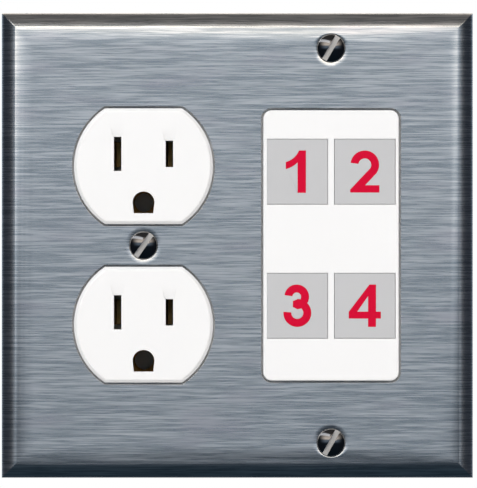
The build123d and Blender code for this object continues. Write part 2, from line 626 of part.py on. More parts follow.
def make_ground_rivets():
    with BuildPart() as rivets:
        for x, z in rivet_spots():
            with BuildSketch(axis_profile_plane(x, z)):
                with BuildLine():
                    Polyline(
                        (0, STRAP_T + RIVET_HEAD_T), (0, -GROUND_FOOT_T - RIVET_HEAD_T),
                        (RIVET_HEAD_R, -GROUND_FOOT_T - RIVET_HEAD_T), (RIVET_HEAD_R, -GROUND_FOOT_T),
                        (RIVET_R, -GROUND_FOOT_T), (RIVET_R, STRAP_T), (RIVET_HEAD_R, STRAP_T),
                        (0.7 * RIVET_HEAD_R, STRAP_T + RIVET_HEAD_T), (0, STRAP_T + RIVET_HEAD_T),
                    )
                make_face()
            revolve(axis=screw_axis(x, z))
    save(rivets, "ground_rivets")


def make_assembly_screws():
    with BuildPart() as screws:
        for x, z in assembly_spots():
            with BuildSketch(wall_plane(-BASE_DEPTH)):
                with Locations((x, z)):
                    Circle(ASSEMBLY_HEAD_R)
            extrude(amount=ASSEMBLY_HEAD_T)
            with BuildSketch(wall_plane(-BASE_DEPTH)):
                with Locations((x, z)):
                    Circle(ASSEMBLY_SCREW_R)
            extrude(amount=BASE_DEPTH + STRAP_T + ASSEMBLY_BITE)
            with BuildSketch(wall_plane(-BASE_DEPTH)):
                with Locations((x, z)):
                    Rectangle(0.9, 3.4)
                    Rectangle(3.4, 0.9)
            extrude(amount=1.2, mode=Mode.SUBTRACT)
    save(screws, "assembly_screws")


def make_terminal(name, side, seat_x, out, z):
    """A clamp plate and its screw, closed on the bus bar or the ground tab whose outer side is at seat_x."""
    clamp_x = seat_x + side * CLAMP_GAP
    head_x = clamp_x + side * (CLAMP_T + 0.05)
    centre = (-side * out, z)
    with BuildPart() as clamp:
        with BuildSketch(side_plane(clamp_x, side)):
            with Locations(centre):
                RectangleRounded(CLAMP_W, CLAMP_H, 0.8)
                Circle(TERMINAL_R + SCREW_RUN, mode=Mode.SUBTRACT)
        extrude(amount=CLAMP_T)
    save(clamp, f"wire_clamp_{name}")
    with BuildPart() as screw:
        with BuildSketch(side_plane(head_x, side)):
            with Locations(centre):
                Circle(TERMINAL_HEAD_R)
        extrude(amount=TERMINAL_HEAD_T)
        rim = screw.edges().filter_by(GeomType.CIRCLE).sort_by(Axis.X)
        fillet(rim[-1] if side > 0 else rim[0], 0.5)
        with BuildSketch(side_plane(head_x, side)):
            with Locations(centre):
                Circle(TERMINAL_R)
        extrude(amount=-TERMINAL_SHANK)
        with BuildSketch(side_plane(head_x + side * TERMINAL_HEAD_T, side)):
            with Locations(centre):
                Rectangle(DRIVER_SLOT_W, 3 * TERMINAL_HEAD_R)
        extrude(amount=-1.0, mode=Mode.SUBTRACT)
    save(screw, f"terminal_screw_{name}")


# ---- port insert -------------------------------------------------------------------------------------
def make_port_frame():
    hollow_out = INSERT_OUT - PANEL_T - 0.6
    cell_h = PORT_H + 2 * PORT_GAP + 2 * CELL_STEP
    with BuildPart() as frame:
        with BuildSketch(wall_plane(0)):
            with Locations((INSERT_X, 0)):
                RectangleRounded(INSERT_EAR_W, STRAP_L, 2.0)
        extrude(amount=INSERT_EAR_T)
        with BuildSketch(wall_plane(0)):
            with Locations((INSERT_X, 0)):
                RectangleRounded(INSERT_FLANGE_W, INSERT_FLANGE_H, 2.0)
        extrude(amount=INSERT_FLANGE_OUT)
        with BuildSketch(wall_plane(0)):
            with Locations((INSERT_X, 0)):
                insert_outline()
        extrude(amount=INSERT_OUT)
        front = frame.faces().sort_by(Axis.Y)[0]
        fillet(front.outer_wire().edges(), INSERT_EDGE_R)
        with BuildSketch(wall_plane(0)):
            with Locations((INSERT_X, 0)):
                RectangleRounded(INSERT_W - 2 * CELL_WALL, INSERT_H - 2 * CELL_WALL, 1.0)
        extrude(amount=hollow_out, mode=Mode.SUBTRACT)
        with BuildSketch(wall_plane(hollow_out + 0.1)):
            with Locations(*[(INSERT_X, z) for z in PORT_ROWS]):
                Rectangle(INSERT_W, cell_h + 2 * CELL_WALL)
        extrude(amount=-(hollow_out + 0.1 + CELL_DEPTH))
        with BuildSketch(wall_plane(INSERT_OUT)):
            with Locations(*PORT_CENTRES):
                Rectangle(PORT_W + 2 * PORT_GAP, PORT_H + 2 * PORT_GAP)
        extrude(amount=-(INSERT_OUT + CELL_DEPTH), mode=Mode.SUBTRACT)
        with BuildSketch(wall_plane(INSERT_OUT - PANEL_T)):
            with Locations(*PORT_CENTRES):
                Rectangle(PORT_W + 2 * PORT_GAP, cell_h)
        extrude(amount=-(INSERT_OUT + CELL_DEPTH), mode=Mode.SUBTRACT)
        with BuildSketch(wall_plane(0)):
            with Locations(*[(INSERT_X, end * BOX_SCREW_PITCH / 2) for end in (-1, 1)]):
                SlotOverall(7.4, 2 * SCREW_R + 0.5)
            with Locations(*[(INSERT_X, end * INSERT_SCREW_PITCH / 2) for end in (-1, 1)]):
                Circle(SCREW_R + SCREW_RUN)
        extrude(amount=INSERT_EAR_T, mode=Mode.SUBTRACT)
    save(frame, "port_frame")


def numeral_face(digit):
    """Bold upright numeral, drawn about its own middle."""
    top = NUMERAL_H / 2
    w = NUMERAL_STROKE
    with BuildSketch() as numeral:
        if digit == 1:
            with BuildLine():
                Line((2.11, top), (2.11, -top))
                Line((2.11, -top), (2.01 - w, -top))
                Line((2.01 - w, -top), (2.01 - w, 2.26))
                ThreePointArc((2.01 - w, 2.26), (-1.25, 1.27), (-2.85, 0.62))
                Line((-2.85, 0.62), (-2.85, 2.36))
                ThreePointArc((-2.85, 2.36), (-0.8, 3.45), (0.4, top))
                Line((0.4, top), (2.11, top))
            make_face()
        elif digit == 2:
            bowl_r = 2.55
            bowl_z = top - bowl_r - w / 2
            with BuildLine():
                bowl = CenterArc((0.0, bowl_z), bowl_r, 172, -207)
                Line(bowl @ 1, (-3.2, -top - 0.19))
            trace(line_width=w)
            with Locations((0.55, -top + w / 2)):
                Rectangle(6.1, 0.92 * w)
            with Locations((0, -top - 1)):
                Rectangle(12, 2 + 0.08 * w, mode=Mode.SUBTRACT)
            with Locations((-4.6, -top + 1)):
                Rectangle(2, 4, mode=Mode.SUBTRACT)
        elif digit == 3:
            upper_r = 2.05
            lower_r = 2.45
            upper_z = top - upper_r - w / 2
            lower_z = -top + lower_r + w / 2
            with BuildLine():
                CenterArc((-0.15, upper_z), upper_r, 172, -262)
            trace(line_width=w)
            with BuildLine():
                CenterArc((0.0, lower_z), lower_r, 90, -275)
            trace(line_width=w)
            waist_z = (upper_z - upper_r + lower_z + lower_r) / 2
            Polygon((-1.1, waist_z + 0.38 * w), (0.08, waist_z + 0.62 * w),
                    (-0.07, waist_z - 0.62 * w), (-1.1, waist_z - 0.38 * w), align=None)
        else:
            Polygon((1.15, top), (2.75, top), (2.75, -1.45), (3.95, -1.45), (3.95, -3.15), (2.75, -3.15),
                    (2.75, -top), (0.8, -top), (0.8, -3.15), (-3.95, -3.15), (-3.95, -1.5), align=None)
            Polygon((0.8, 2.35), (0.8, -1.45), (-1.85, -1.45), align=None, mode=Mode.SUBTRACT)
    return numeral.sketch


def make_port_blank(number, x, z):
    """Snap-in blank with a release tongue above, and the numeral inlaid in its face."""
    shoulder_out = INSERT_OUT - PANEL_T - PORT_GAP
    body_h = PORT_H + 2 * CELL_STEP
    tongue_z = z + body_h / 2 - TONGUE_T / 2 - 0.1
    with BuildPart() as numeral:
        with BuildSketch(wall_plane(INSERT_OUT)):
            with Locations((x, z)):
                add(numeral_face(number))
        extrude(amount=-NUMERAL_DEPTH)
    with BuildPart() as blank:
        with BuildSketch(wall_plane(INSERT_OUT)):
            with Locations((x, z)):
                Rectangle(PORT_W, PORT_H)
        extrude(amount=-(PANEL_T + 1))
        with BuildSketch(wall_plane(shoulder_out)):
            with Locations((x, z)):
                Rectangle(PORT_W, body_h)
        extrude(amount=-(shoulder_out + BLANK_BACK))
        with BuildSketch(wall_plane(INSERT_OUT - PANEL_T - 1)):
            with Locations((x, z)):
                Rectangle(PORT_W - 2 * BLANK_WALL, body_h - 2 * BLANK_WALL)
        extrude(amount=-(INSERT_OUT + BLANK_BACK), mode=Mode.SUBTRACT)
        with BuildSketch(wall_plane(-BLANK_BACK + 1)):
            with Locations((x, tongue_z)):
                Rectangle(TONGUE_W, TONGUE_T)
        extrude(amount=-(TONGUE_L + 1))
        with BuildSketch(wall_plane(-BLANK_BACK - TONGUE_L + 1.2)):
            with Locations((x, tongue_z + TONGUE_PAD / 2)):
                Rectangle(TONGUE_W, TONGUE_T + TONGUE_PAD)
        extrude(amount=-1.2)
        add(numeral.part, mode=Mode.SUBTRACT)
    save(blank, f"port_blank_{number}")
    save(numeral, f"port_numeral_{number}")


# ---- build everything --------------------------------------------------------------------------------
def main():
    os.makedirs("parts", exist_ok=True)
    make_wall_plate()
    for name, (x, z) in PLATE_SCREWS.items():
        make_plate_screw(name, x, z, PLATE_SCREW_TURNS[name])
    for device, x, ear in (("receptacle", RECEPTACLE_X, STRAP_T), ("insert", INSERT_X, INSERT_EAR_T)):
        for place, end in (("top", 1), ("bottom", -1)):
            make_box_screw(f"box_screw_{device}_{place}", x, end * BOX_SCREW_PITCH / 2, ear)
    make_retainers()
    make_face_cover()
    make_strap()
    make_base()
    make_bus("neutral_bus", -1)
    make_bus("hot_bus", 1)
    for place, z in zip(("upper", "lower"), GROUNDS_Z):
        make_ground_contact(f"ground_contact_{place}", z)
    make_ground_rivets()
    make_assembly_screws()
    for line, side in (("neutral", -1), ("hot", 1)):
        for place, end in (("upper", 1), ("lower", -1)):
            seat_x = RECEPTACLE_X + side * (BUS_X + BUS_T)
            make_terminal(f"{line}_{place}", side, seat_x, TERMINAL_OUT, end * TERMINAL_Z)
    tab_x = RECEPTACLE_X - TAB_X - STRAP_T
    make_terminal("ground", -1, tab_x, GROUND_TERMINAL_OUT, GROUND_TERMINAL_Z)
    make_port_frame()
    for number, (x, z) in enumerate(PORT_CENTRES, start=1):
        make_port_blank(number, x, z)


main()
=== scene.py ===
"""Finish, light and camera for a two-gang wall outlet: duplex receptacle, port insert and cover plate.

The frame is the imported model's: metres, +X right and +Z up as seen from the room, +Y into the wall.
"""

import json
from math import atan, cos, hypot, pi, radians, sin, tan

import bpy
from mathutils import Matrix, Vector


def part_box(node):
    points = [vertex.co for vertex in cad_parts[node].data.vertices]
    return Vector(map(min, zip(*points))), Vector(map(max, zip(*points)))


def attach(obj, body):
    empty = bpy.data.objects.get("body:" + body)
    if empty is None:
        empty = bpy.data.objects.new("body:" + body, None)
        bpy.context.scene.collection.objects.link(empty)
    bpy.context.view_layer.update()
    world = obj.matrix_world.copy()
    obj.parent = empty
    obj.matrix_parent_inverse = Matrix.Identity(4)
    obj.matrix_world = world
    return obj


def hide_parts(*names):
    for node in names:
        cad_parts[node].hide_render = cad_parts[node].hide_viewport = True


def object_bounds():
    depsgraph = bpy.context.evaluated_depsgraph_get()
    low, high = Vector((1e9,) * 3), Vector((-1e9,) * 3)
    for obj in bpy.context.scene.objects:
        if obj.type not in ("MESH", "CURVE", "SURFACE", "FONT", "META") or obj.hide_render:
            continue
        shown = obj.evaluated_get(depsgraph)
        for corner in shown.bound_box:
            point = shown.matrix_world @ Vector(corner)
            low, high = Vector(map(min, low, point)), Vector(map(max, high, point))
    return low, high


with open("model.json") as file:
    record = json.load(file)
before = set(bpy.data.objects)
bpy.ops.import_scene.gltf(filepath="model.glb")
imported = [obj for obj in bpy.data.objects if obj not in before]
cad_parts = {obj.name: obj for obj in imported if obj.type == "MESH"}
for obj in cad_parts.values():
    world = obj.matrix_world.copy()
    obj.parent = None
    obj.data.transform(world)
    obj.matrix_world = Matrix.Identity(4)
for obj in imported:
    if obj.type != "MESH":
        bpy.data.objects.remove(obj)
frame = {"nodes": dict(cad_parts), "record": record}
cad_bounds = [list(corner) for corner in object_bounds()]
nodes = frame["nodes"]
MM = 0.001


# ---- shader maths --------------------------------------------------------------------------------------
class Wire:
    """An output socket. Arithmetic on it adds Math nodes to its own tree."""

    def __init__(self, tree, socket):
        self.tree = tree
        self.socket = socket

    def math(self, operation, *values):
        node = self.tree.nodes.new("ShaderNodeMath")
        node.operation = operation
        for place, value in zip(node.inputs, values):
            plug(self.tree, place, value)
        return Wire(self.tree, node.outputs[0])

    def __add__(self, other):
        return self.math("ADD", self, other)

    def __sub__(self, other):
        return self.math("SUBTRACT", self, other)

    def __mul__(self, other):
        return self.math("MULTIPLY", self, other)

    def __abs__(self):
        return self.math("ABSOLUTE", self)

    def smooth(self, low, high):
        """0 below low, 1 above high, and an even curve between."""
        node = self.tree.nodes.new("ShaderNodeMapRange")
        node.interpolation_type = "SMOOTHSTEP"
        for place, value in zip(node.inputs, (self, low, high)):
            plug(self.tree, place, value)
        return Wire(self.tree, node.outputs[0])


def plug(tree, place, value):
    """Link a wire into a socket, or set the socket to a number, a colour or a vector."""
    if isinstance(value, Wire):
        tree.links.new(value.socket, place)
    elif place.type == "RGBA" and len(value) == 3:
        place.default_value = (*value, 1.0)
    else:
        place.default_value = value


class Shader:
    """The nodes of one material or of the world."""

    def __init__(self, tree):
        self.tree = tree
        tree.nodes.clear()

    def node(self, kind, output=0, **values):
        """Add a node and give its output. The values go to its sockets, by name with _ for a space."""
        node = self.tree.nodes.new(kind)
        for name, value in values.items():
            plug(self.tree, socket_named(node.inputs, name), value)
        return Wire(self.tree, node.outputs[output])

    def place(self):
        return self.node("ShaderNodeTexCoord", output="Object")

    def axes(self, vector):
        """The x, y and z of a vector, each as a wire."""
        parts = self.tree.nodes.new("ShaderNodeSeparateXYZ")
        plug(self.tree, parts.inputs[0], vector)
        return [Wire(self.tree, socket) for socket in parts.outputs]

    def scaled(self, vector, x, y, z):
        node = self.tree.nodes.new("ShaderNodeVectorMath")
        node.operation = "MULTIPLY"
        plug(self.tree, node.inputs[0], vector)
        plug(self.tree, node.inputs[1], (x, y, z))
        return Wire(self.tree, node.outputs[0])

    def noise(self, x, y, z, detail=2.0, roughness=0.5):
        """Noise with its own count of cells per metre along each axis, about 0.5 on average."""
        spread = self.scaled(self.place(), x, y, z)
        return self.node("ShaderNodeTexNoise", Vector=spread, Scale=1.0, Detail=detail, Roughness=roughness)

    def mix(self, low, high, factor):
        """Colour from low to high."""
        node = self.tree.nodes.new("ShaderNodeMix")
        node.data_type = "RGBA"
        plug(self.tree, node.inputs["Factor"], factor)
        plug(self.tree, node.inputs[6], low)
        plug(self.tree, node.inputs[7], high)
        return Wire(self.tree, node.outputs[2])

    def bump(self, height, depth, strength):
        return self.node("ShaderNodeBump", Height=height, Distance=depth, Strength=strength)


def socket_named(sockets, name):
    return sockets[name.replace("_", " ")]


def finish(name, colour, roughness, metallic=0.0, normal=None, **constants):
    """A Principled material. Its inputs are values, or functions that build them on the shader."""
    material = bpy.data.materials.new(name)
    material.use_nodes = True
    shader = Shader(material.node_tree)
    surface = shader.tree.nodes.new("ShaderNodeBsdfPrincipled")
    output = shader.tree.nodes.new("ShaderNodeOutputMaterial")
    shader.tree.links.new(surface.outputs[0], output.inputs["Surface"])
    inputs = {"Base Color": colour, "Roughness": roughness, "Metallic": metallic, "Normal": normal}
    for socket, value in inputs.items():
        if value is not None:
            plug(shader.tree, surface.inputs[socket], value(shader) if callable(value) else value)
    for socket, value in constants.items():
        socket_named(surface.inputs, socket).default_value = value
    return material


def brushed(shader):
    """Fine grain along X: long streaks of uneven depth."""
    fine = shader.noise(110, 110, 5200, detail=2, roughness=0.5)
    broad = shader.noise(40, 40, 1500, detail=2)
    return fine * 0.7 + broad * 0.3


# ---- materials -----------------------------------------------------------------------------------------
SCREW_CROWN = -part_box("plate_screw_center")[0].y  # how far the plate screws stand out of the wall
SLOT_W = 1.3 * MM  # a driver slot's width
SLOT_DEPTH = 1.0 * MM  # and its depth below the crown


def stainless_finish():
    """Bright streaks on a darker ground, with broad mauve patches."""
    def colour(shader):
        grain = brushed(shader).smooth(0.42, 0.62)
        steel = shader.mix((0.46, 0.49, 0.51), (0.80, 0.81, 0.82), grain)
        patches = shader.noise(60, 60, 190, detail=1).smooth(0.5, 0.8)
        return shader.mix(steel, (0.63, 0.60, 0.64), patches * 0.5)

    def roughness(shader):
        return brushed(shader) * 0.14 + shader.noise(14, 14, 14, detail=2) * 0.04 + 0.19

    def normal(shader):
        return shader.bump(brushed(shader), 0.0015 * MM, 0.5)

    return finish("stainless_brushed", colour, roughness, 1.0, normal)


def screw_steel_with_painted_reflection():
    """Plate screw steel: its dome painted dark as a painted reflection of dark surroundings, and glossier
    for its polish; dull grey in its slot and on its shank.
    """
    def polished_and_painted_dark_dome(shader):
        out = shader.axes(shader.place())[1] * -1.0
        floor = SCREW_CROWN - SLOT_DEPTH
        return out.smooth(floor + 0.015 * MM, floor + 0.045 * MM)

    def colour(shader):
        # Painted reflection: the dome's colour is darkened to stand for the dark surroundings that its
        # polish mirrors; the slot and shank keep plain steel grey.
        return shader.mix((0.66, 0.655, 0.65), (0.13, 0.13, 0.135), polished_and_painted_dark_dome(shader))

    def roughness(shader):
        return shader.noise(900, 900, 900, detail=3) * 0.08 + 0.45 - polished_and_painted_dark_dome(shader) * 0.4

    return finish("polished_steel", colour, roughness, 1.0)


def moulded_plastic(name, colour_low, colour_high, gloss, orange_peel, **constants):
    """Plastic with a faint orange peel, whose depth is a length."""
    def colour(shader):
        return shader.mix(colour_low, colour_high, shader.noise(40, 40, 40, detail=3))

    def roughness(shader):
        return shader.noise(300, 300, 300, detail=2) * 0.08 + gloss

    def normal(shader):
        return shader.bump(shader.noise(1100, 1100, 1100, detail=2), orange_peel, 0.35)

    return finish(name, colour, roughness, 0.0, normal, **constants)


def plated_metal(name, colour_low, colour_high, gloss):
    """Metal with the fine mottle of a plating bath."""
    def colour(shader):
        return shader.mix(colour_low, colour_high, shader.noise(260, 260, 260, detail=4).smooth(0.3, 0.7))

    def roughness(shader):
        return shader.noise(600, 600, 600, detail=3) * 0.16 + gloss

    def normal(shader):
        return shader.bump(shader.noise(1800, 1800, 1800, detail=2), 0.006 * MM, 0.5)

    return finish(name, colour, roughness, 1.0, normal)


def fibre_finish():
    """Brown pressed card, its fibres along the wall."""
    def colour(shader):
        return shader.mix((0.30, 0.20, 0.11), (0.48, 0.35, 0.21), shader.noise(500, 500, 2200, detail=5))

    def normal(shader):
        return shader.bump(shader.noise(1500, 1500, 3000, detail=4), 0.03 * MM, 0.7)

    return finish("pressed_fibre", colour, 0.82, 0.0, normal)


materials = {
    "stainless": stainless_finish(),
    # The plate screws' steel, its dome painted dark as a painted reflection.
    "polished_steel": screw_steel_with_painted_reflection(),
    "face_plastic": moulded_plastic(
        "white_face", (0.84, 0.85, 0.865), (0.865, 0.875, 0.89), 0.26, 0.004 * MM
    ),
    "base_plastic": moulded_plastic("base_white", (0.72, 0.72, 0.69), (0.78, 0.78, 0.75), 0.42, 0.01 * MM),
    "blank_plastic": moulded_plastic("blank_grey", (0.50, 0.51, 0.53), (0.53, 0.54, 0.56), 0.40, 0.006 * MM),
    "numeral_red": moulded_plastic(
        "numeral_crimson", (0.57, 0.0, 0.027), (0.61, 0.0, 0.034), 0.5, 0.004 * MM, Specular_IOR_Level=0.1
    ),
    "zinc_steel": plated_metal("zinc_plated", (0.60, 0.61, 0.62), (0.72, 0.73, 0.74), 0.26),
    "contact_brass": plated_metal("contact_brass", (0.54, 0.34, 0.11), (0.68, 0.47, 0.19), 0.42),
    "nickel_plate": plated_metal("nickel_plated", (0.64, 0.62, 0.57), (0.76, 0.74, 0.69), 0.20),
    "green_plate": plated_metal("green_chromate", (0.02, 0.22, 0.08), (0.05, 0.34, 0.13), 0.28),
    "retainer_card": fibre_finish(),
}
slot_of = {entry["node"]: entry["material_slot"] for entry in frame["record"]["subparts"]}
for name, node in nodes.items():
    node.data.materials.clear()
    node.data.materials.append(materials[slot_of[name]])


# ---- modelling helpers ---------------------------------------------------------------------------------
TO_ROOM = Matrix.Rotation(radians(90), 4, "X")  # local +Z to -Y, local +Y to +Z
TO_SIDE = {1: Matrix.Rotation(radians(90), 4, "Y"), -1: Matrix.Rotation(radians(-90), 4, "Y")}


def only(piece):
    """Select this object and no other."""
    bpy.ops.object.select_all(action="DESELECT")
    piece.select_set(True)
    bpy.context.view_layer.objects.active = piece


def apply_all(piece):
    """Apply the piece's modifiers, first to last."""
    only(piece)
    for modifier in list(piece.modifiers):
        bpy.ops.object.modifier_apply(modifier=modifier.name)


def new_mesh(name, points, edges):
    """An object made of an open or closed line, ready to be spun or extruded."""
    mesh = bpy.data.meshes.new(name)
    mesh.from_pydata(points, edges, [])
    piece = bpy.data.objects.new(name, mesh)
    bpy.context.scene.collection.objects.link(piece)
    return piece


def rounded(piece, width, segments=3, angle=30):
    """Round every edge sharper than angle, and let the large faces keep their flat shading."""
    only(piece)
    bpy.ops.object.shade_smooth()
    bevel = piece.modifiers.new("edges", "BEVEL")
    bevel.width = width
    bevel.segments = segments
    bevel.limit_method = "ANGLE"
    bevel.angle_limit = radians(angle)
    bevel.miter_outer = "MITER_ARC"
    shading = piece.modifiers.new("shading", "WEIGHTED_NORMAL")
    shading.weight = 60
    apply_all(piece)


def copy_of(node, name, joined=True):
    """A merged copy of a frame node's mesh. Joined, its triangles make up large flat faces."""
    piece = bpy.data.objects.new(name, nodes[node].data.copy())
    bpy.context.scene.collection.objects.link(piece)
    piece.data.materials.clear()
    only(piece)
    if piece.data.has_custom_normals:
        bpy.ops.mesh.customdata_custom_splitnormals_clear()
    bpy.ops.object.mode_set(mode="EDIT")
    bpy.ops.mesh.select_all(action="SELECT")
    bpy.ops.mesh.remove_doubles(threshold=0.002 * MM)
    if joined:
        bpy.ops.mesh.dissolve_limited(angle_limit=radians(0.4))
    bpy.ops.object.mode_set(mode="OBJECT")
    return piece


def settle(piece, node):
    """Give a finished piece its material and its body, and hide the frame node it stands for."""
    slot = slot_of[node]
    piece.data.materials.clear()
    piece.data.materials.append(materials[slot])
    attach(piece, body_with(node))
    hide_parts(node)


def body_with(node):
    """The name of the moving body that a frame node belongs to."""
    bodies = frame["record"]["behaviour"]["bodies"]
    return next(body for body, members in bodies.items() if node in members)


# ---- screws --------------------------------------------------------------------------------------------
THREAD_SIX = (1.753 * MM, 0.794 * MM)  # a number 6 screw's radius over the crests, and its pitch
THREAD_EIGHT = (2.08 * MM, 0.794 * MM)  # a number 8 screw's
THREAD_DEPTH = 0.6  # of the pitch
SPIN_STEPS = 64
THREAD_STEPS = 24
PLATE_SCREW_RISE = 1.05 * MM  # of the dome above its rim
PLATE_SCREW_RIM = 0.15 * MM  # the straight band under the dome
COUNTERSINK = 41  # degrees from the axis to the cone under the head


def root_of(size):
    """Radius at the foot of the thread."""
    crest, pitch = size
    return crest - THREAD_DEPTH * pitch


def lathe(name, profile):
    """Turn (radius, height) points about local Z into a closed solid."""
    points = [(radius, 0, height) for radius, height in profile]
    piece = new_mesh(name, points, [(i, i + 1) for i in range(len(points) - 1)])
    only(piece)
    bpy.ops.object.mode_set(mode="EDIT")
    bpy.ops.mesh.select_all(action="SELECT")
    bpy.ops.mesh.spin(steps=SPIN_STEPS, angle=2 * pi, center=(0, 0, 0), axis=(0, 0, 1))
    bpy.ops.mesh.select_all(action="SELECT")
    bpy.ops.mesh.remove_doubles(threshold=0.003 * MM)
    bpy.ops.mesh.normals_make_consistent(inside=False)
    bpy.ops.object.mode_set(mode="OBJECT")
    return piece


def thread(name, size, low, high):
    """Helical ridge from low to high along local Z, closed at both ends."""
    crest, pitch = size
    turns = int((high - low - 0.7 * pitch) / pitch)
    inner = root_of(size) - 0.08 * pitch
    points = [
        (inner, 0, low), (inner, 0, low + 0.86 * pitch), (crest, 0, low + 0.49 * pitch),
        (crest, 0, low + 0.37 * pitch),
    ]
    piece = new_mesh(name, points, [(0, 1), (1, 2), (2, 3), (3, 0)])
    screw = piece.modifiers.new("helix", "SCREW")
    screw.axis = "Z"
    screw.screw_offset = pitch
    screw.iterations = turns
    screw.steps = THREAD_STEPS
    screw.render_steps = THREAD_STEPS
    apply_all(piece)
    bpy.ops.object.mode_set(mode="EDIT")
    bpy.ops.mesh.select_all(action="DESELECT")
    bpy.ops.mesh.select_mode(type="EDGE")
    bpy.ops.mesh.select_non_manifold()
    bpy.ops.mesh.fill_holes(sides=8)
    bpy.ops.mesh.select_all(action="SELECT")
    bpy.ops.mesh.normals_make_consistent(inside=False)
    bpy.ops.object.mode_set(mode="OBJECT")
    return piece


def cut_slot(piece, crown, turn):
    """Driver slot across a head whose crown is at this height, turned about local Z."""
    above = 1 * MM
    middle = crown + (above - SLOT_DEPTH) / 2
    bpy.ops.mesh.primitive_cube_add(size=1, location=(0, 0, middle), rotation=(0, 0, turn))
    cutter = bpy.context.active_object
    cutter.dimensions = (SLOT_W, 20 * MM, SLOT_DEPTH + above)
    only(cutter)
    bpy.ops.object.transform_apply(location=True, rotation=True, scale=True)
    cut = piece.modifiers.new("slot", "BOOLEAN")
    cut.operation = "DIFFERENCE"
    cut.solver = "EXACT"
    cut.object = cutter
    apply_all(piece)
    bpy.data.objects.remove(cutter)


def dome(radius, rim, rise, steps=9):
    """Points of a spherical cap from its rim at height rim up to the axis."""
    ball = (radius**2 + rise**2) / (2 * rise)
    half = 2 * atan(rise / radius)
    return [
        (ball * sin(half * (1 - i / steps)), rim + rise - ball + ball * cos(half * (1 - i / steps)))
        for i in range(steps + 1)
    ]


def make_screw(node, profile, size, threaded, turn, orient, edge=0.1 * MM):
    """A slotted screw. Its profile runs from the tip to the crown; threaded is the thread's two ends."""
    screw = lathe(f"{node}_turned", profile)
    crown = profile[-1][1]
    cut_slot(screw, crown, turn)
    rounded(screw, edge, 3, 40)
    helix = thread(f"{node}_thread", size, *threaded)
    only(helix)
    bpy.ops.object.shade_smooth_by_angle(angle=radians(30))
    bpy.ops.object.select_all(action="DESELECT")
    helix.select_set(True)
    screw.select_set(True)
    bpy.context.view_layer.objects.active = screw
    bpy.ops.object.join()
    screw.data.transform(orient)
    settle(screw, node)


def plate_screw(node, turn):
    """Oval head on a countersunk cone, and a threaded shank with a blunt end."""
    low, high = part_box(node)
    head = (high.x - low.x) / 2
    root = root_of(THREAD_SIX)
    tip = -high.y
    rim_top = -low.y - PLATE_SCREW_RISE
    cone_top = rim_top - PLATE_SCREW_RIM
    cone_end = cone_top - (head - THREAD_SIX[0]) / tan(radians(COUNTERSINK))
    profile = [
        (0, tip), (root - 0.3 * MM, tip), (root, tip + 0.5 * MM), (root, cone_end - 0.4 * MM),
        (THREAD_SIX[0], cone_end), (head, cone_top), *dome(head, rim_top, PLATE_SCREW_RISE),
    ]
    centre = Matrix.Translation(((low.x + high.x) / 2, 0, (low.z + high.z) / 2))
    threaded = (tip + 0.5 * MM, cone_end - 0.6 * MM)
    make_screw(node, profile, THREAD_SIX, threaded, turn, centre @ TO_ROOM, 0.07 * MM)


def box_screw(node, turn):
    """Round head, relieved neck and a long thread."""
    low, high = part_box(node)
    head = (high.x - low.x) / 2
    height = 2.2 * MM
    edge = 0.15 * MM
    neck = 1.45 * MM
    seat = -low.y - height
    tip = -high.y
    root = root_of(THREAD_SIX)
    profile = [
        (0, tip), (root - 0.3 * MM, tip), (root, tip + 0.6 * MM), (root, -0.9 * MM), (neck, -0.7 * MM),
        (neck, seat), (head - 0.1 * MM, seat), *dome(head, seat + edge, height - edge),
    ]
    centre = Matrix.Translation(((low.x + high.x) / 2, 0, (low.z + high.z) / 2))
    threaded = (tip + 0.6 * MM, -0.5 * MM)
    make_screw(node, profile, THREAD_SIX, threaded, turn, centre @ TO_ROOM)


def terminal_screw(node, side, turn):
    """Low, wide head that clamps the wire plate. Heights are from the underside of the head."""
    low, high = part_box(node)
    head = (high.z - low.z) / 2
    thick = 1.8 * MM
    shank = 7.2 * MM
    root = root_of(THREAD_EIGHT)
    profile = [
        (0, -shank), (root - 0.3 * MM, -shank), (root, -shank + 0.5 * MM), (root, 0), (head - 0.15 * MM, 0),
        (head, 0.15 * MM), (head, thick - 0.75 * MM), (head - 0.25 * MM, thick - 0.3 * MM),
        (head - 0.9 * MM, thick), (0, thick),
    ]
    under_head = (high.x if side > 0 else low.x) - side * thick
    centre = Matrix.Translation((under_head, (low.y + high.y) / 2, (low.z + high.z) / 2))
    threaded = (-shank + 0.4 * MM, -0.2 * MM)
    make_screw(node, profile, THREAD_EIGHT, threaded, turn, centre @ TO_SIDE[side])


def make_screws():
    """Every screw, each with its slot left at its own angle in degrees."""
    for name, turn in (("center", -35), ("top", -30), ("bottom", -29)):
        plate_screw(f"plate_screw_{name}", radians(turn))
    for name, turn in (
        ("receptacle_top", 96), ("receptacle_bottom", 84), ("insert_top", 71), ("insert_bottom", 102),
    ):
        box_screw(f"box_screw_{name}", radians(turn))
    for name, side, turn in (
        ("hot_upper", 1, 12), ("hot_lower", 1, -24), ("neutral_upper", -1, 40), ("neutral_lower", -1, 5),
        ("ground", -1, -33),
    ):
        terminal_screw(f"terminal_screw_{name}", side, radians(turn))


# ---- sheet metal and mouldings -------------------------------------------------------------------------
OUTLET_Z = 19.45 * MM  # height of the outlet faces' middles above and below the plate's
OUTLET_R = 17.05 * MM  # an outlet face's round sides
OUTLET_FLAT = 14.2 * MM  # from its middle to its flat top or bottom
OUTLET_CHAMFER = 0.7 * MM  # round its front, in the frame's own shape


